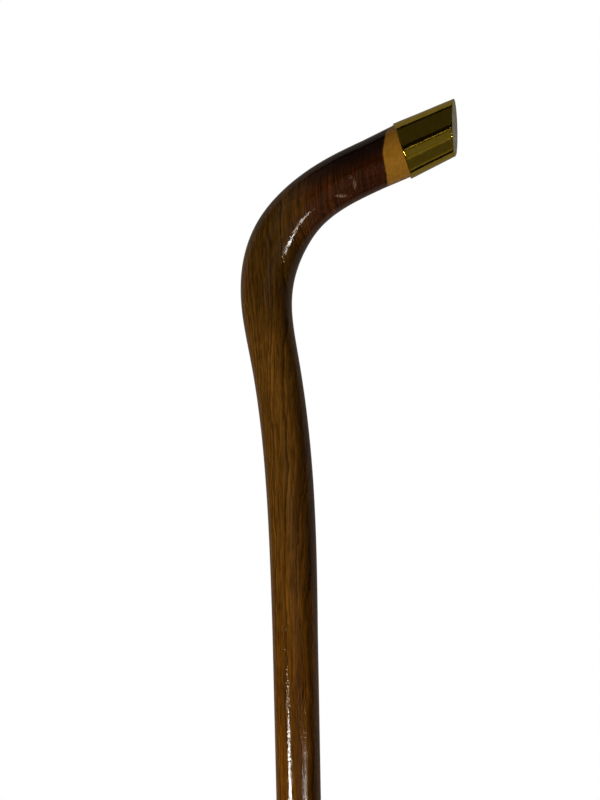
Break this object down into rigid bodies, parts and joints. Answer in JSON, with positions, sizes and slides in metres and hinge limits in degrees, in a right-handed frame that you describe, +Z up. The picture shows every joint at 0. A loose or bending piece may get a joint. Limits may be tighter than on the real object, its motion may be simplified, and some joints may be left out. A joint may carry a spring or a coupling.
{
  "type": "walking cane",
  "caption": "Wooden walking cane with a forward-bent handle, an oblique-ended brass cap, a brass ferrule and a pull-off rubber tip.",
  "frame": {"origin": "centre of the rubber tip's face that stands on the ground, on the shaft's axis", "axes": "+Z up along the straight shaft, +X towards the end of the handle; the picture looks along about +Y"},
  "size_m": [0.1118, 0.035, 0.914],
  "materials": {
    "stick_wood": "dark brown heartwood with a pale sapwood patch at the cap, gloss lacquer",
    "polished_brass": "polished yellow brass",
    "satin_brass": "satin, finely speckled brass",
    "plug_steel": "turned steel",
    "tip_rubber": "matt black rubber"
  },
  "bodies": {
    "cane": {"stick": "stick_wood", "cap_sleeve": "polished_brass", "cap_end_plate": "satin_brass", "ferrule": "polished_brass", "ferrule_plug": "plug_steel", "ferrule_pins": "polished_brass"},
    "tip": {"rubber_tip": "tip_rubber", "tip_washer": "plug_steel"}
  },
  "joints": [
    {"name": "tip_pull", "type": "slide", "parent": "cane", "child": "tip", "axis": [0, 0, -1], "range_m": [0, 0.045]}
  ]
}
